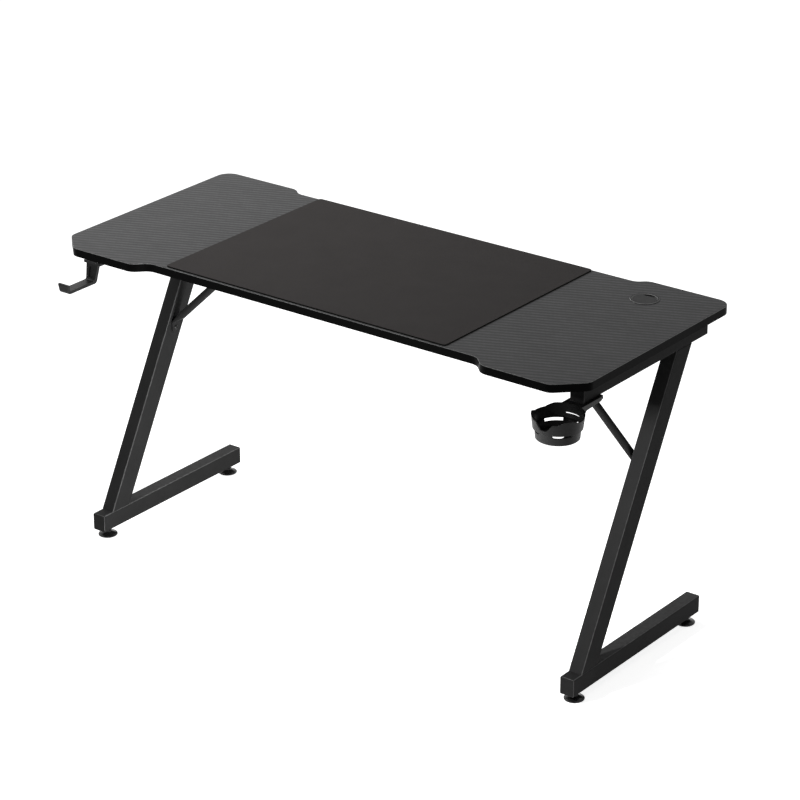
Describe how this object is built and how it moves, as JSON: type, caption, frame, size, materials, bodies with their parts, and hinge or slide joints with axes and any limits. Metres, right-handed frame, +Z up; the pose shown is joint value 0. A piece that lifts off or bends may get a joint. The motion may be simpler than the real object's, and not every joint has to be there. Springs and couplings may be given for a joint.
{
  "type": "gaming desk",
  "caption": "Gaming desk: recessed board on leaning Z-shaped steel side frames with levelling feet, mouse mat, cable grommet, cup holder and headset hook.",
  "frame": {"origin": "on the floor, at the middle of the whole desk's footprint", "axes": "+X to the right of a person sitting at the desk, +Y to the back, +Z up"},
  "size_m": [1.4116, 0.6435, 0.748],
  "materials": {
    "desktop_foil": "board with satin carbon-look foil and black edge",
    "mat_cloth": "dark fine-woven cloth on foam rubber",
    "powder_coat": "black fine-textured powder coat",
    "plug_plastic": "black moulded",
    "foot_plastic": "glossy black",
    "stem_steel": "zinc-plated thread",
    "holder_plastic": "black rough-textured moulded",
    "trim_plastic": "black satin moulded",
    "black_fasteners": "black oxide",
    "plain_steel": "zinc-plated"
  },
  "bodies": {
    "frame": {"desktop": "desktop_foil", "mouse_mat": "mat_cloth", "grommet_sleeve": "trim_plastic", "crossbeam": "powder_coat", "cup_holder": "holder_plastic", "headset_hook": "holder_plastic", "rail_screws": "black_fasteners", "beam_screws": "black_fasteners", "insert_nuts": "plain_steel", "cup_screws": "black_fasteners", "hook_screws": "black_fasteners", "brace_bolts": "black_fasteners", "beam_bolts": "black_fasteners", "weld_nuts": "plain_steel", "top_rail_left": "powder_coat", "leg_tube_left": "powder_coat", "foot_bar_left": "powder_coat", "beam_plate_left": "powder_coat", "brace_left": "powder_coat", "rail_cap_front_left": "plug_plastic", "bar_cap_front_left": "plug_plastic", "foot_nut_front_left": "black_fasteners", "rail_cap_back_left": "plug_plastic", "bar_cap_back_left": "plug_plastic", "foot_nut_back_left": "black_fasteners", "top_rail_right": "powder_coat", "leg_tube_right": "powder_coat", "foot_bar_right": "powder_coat", "beam_plate_right": "powder_coat", "brace_right": "powder_coat", "rail_cap_front_right": "plug_plastic", "bar_cap_front_right": "plug_plastic", "foot_nut_front_right": "black_fasteners", "rail_cap_back_right": "plug_plastic", "bar_cap_back_right": "plug_plastic", "foot_nut_back_right": "black_fasteners"},
    "foot_front_left": {"foot_pad_front_left": "foot_plastic"},
    "stem_front_left": {"foot_stem_front_left": "stem_steel"},
    "foot_back_left": {"foot_pad_back_left": "foot_plastic"},
    "stem_back_left": {"foot_stem_back_left": "stem_steel"},
    "foot_front_right": {"foot_pad_front_right": "foot_plastic"},
    "stem_front_right": {"foot_stem_front_right": "stem_steel"},
    "foot_back_right": {"foot_pad_back_right": "foot_plastic"},
    "stem_back_right": {"foot_stem_back_right": "stem_steel"},
    "grommet_lid": {"grommet_lid": "trim_plastic"}
  },
  "joints": [
    {"name": "foot_level_front_left", "type": "slide", "parent": "frame", "child": "foot_front_left", "axis": [0, 0, 1], "range_m": [-0.012, 0.006]},
    {"name": "stem_turn_front_left", "type": "hinge", "parent": "foot_front_left", "child": "stem_front_left", "pos_m": [-0.66305, -0.18575, 0.02], "axis": [0, 0, 1], "range_deg": [-3457, 1729]},
    {"name": "foot_level_back_left", "type": "slide", "parent": "frame", "child": "foot_back_left", "axis": [0, 0, 1], "range_m": [-0.012, 0.006]},
    {"name": "stem_turn_back_left", "type": "hinge", "parent": "foot_back_left", "child": "stem_back_left", "pos_m": [-0.66305, 0.24825, 0.02], "axis": [0, 0, 1], "range_deg": [-3457, 1729]},
    {"name": "foot_level_front_right", "type": "slide", "parent": "frame", "child": "foot_front_right", "axis": [0, 0, 1], "range_m": [-0.012, 0.006]},
    {"name": "stem_turn_front_right", "type": "hinge", "parent": "foot_front_right", "child": "stem_front_right", "pos_m": [0.65145, -0.18575, 0.02], "axis": [0, 0, 1], "range_deg": [-3457, 1729]},
    {"name": "foot_level_back_right", "type": "slide", "parent": "frame", "child": "foot_back_right", "axis": [0, 0, 1], "range_m": [-0.012, 0.006]},
    {"name": "stem_turn_back_right", "type": "hinge", "parent": "foot_back_right", "child": "stem_back_right", "pos_m": [0.65145, 0.24825, 0.02], "axis": [0, 0, 1], "range_deg": [-3457, 1729]},
    {"name": "grommet_lid_turn", "type": "hinge", "parent": "frame", "child": "grommet_lid", "pos_m": [0.5337, 0.22525, 0.745], "axis": [0, 0, 1], "continuous": true}
  ],
  "couplings": [
    {"joint": "stem_turn_front_left", "follows": "foot_level_front_left", "rad_per_m": 5026.5},
    {"joint": "stem_turn_back_left", "follows": "foot_level_back_left", "rad_per_m": 5026.5},
    {"joint": "stem_turn_front_right", "follows": "foot_level_front_right", "rad_per_m": 5026.5},
    {"joint": "stem_turn_back_right", "follows": "foot_level_back_right", "rad_per_m": 5026.5}
  ]
}
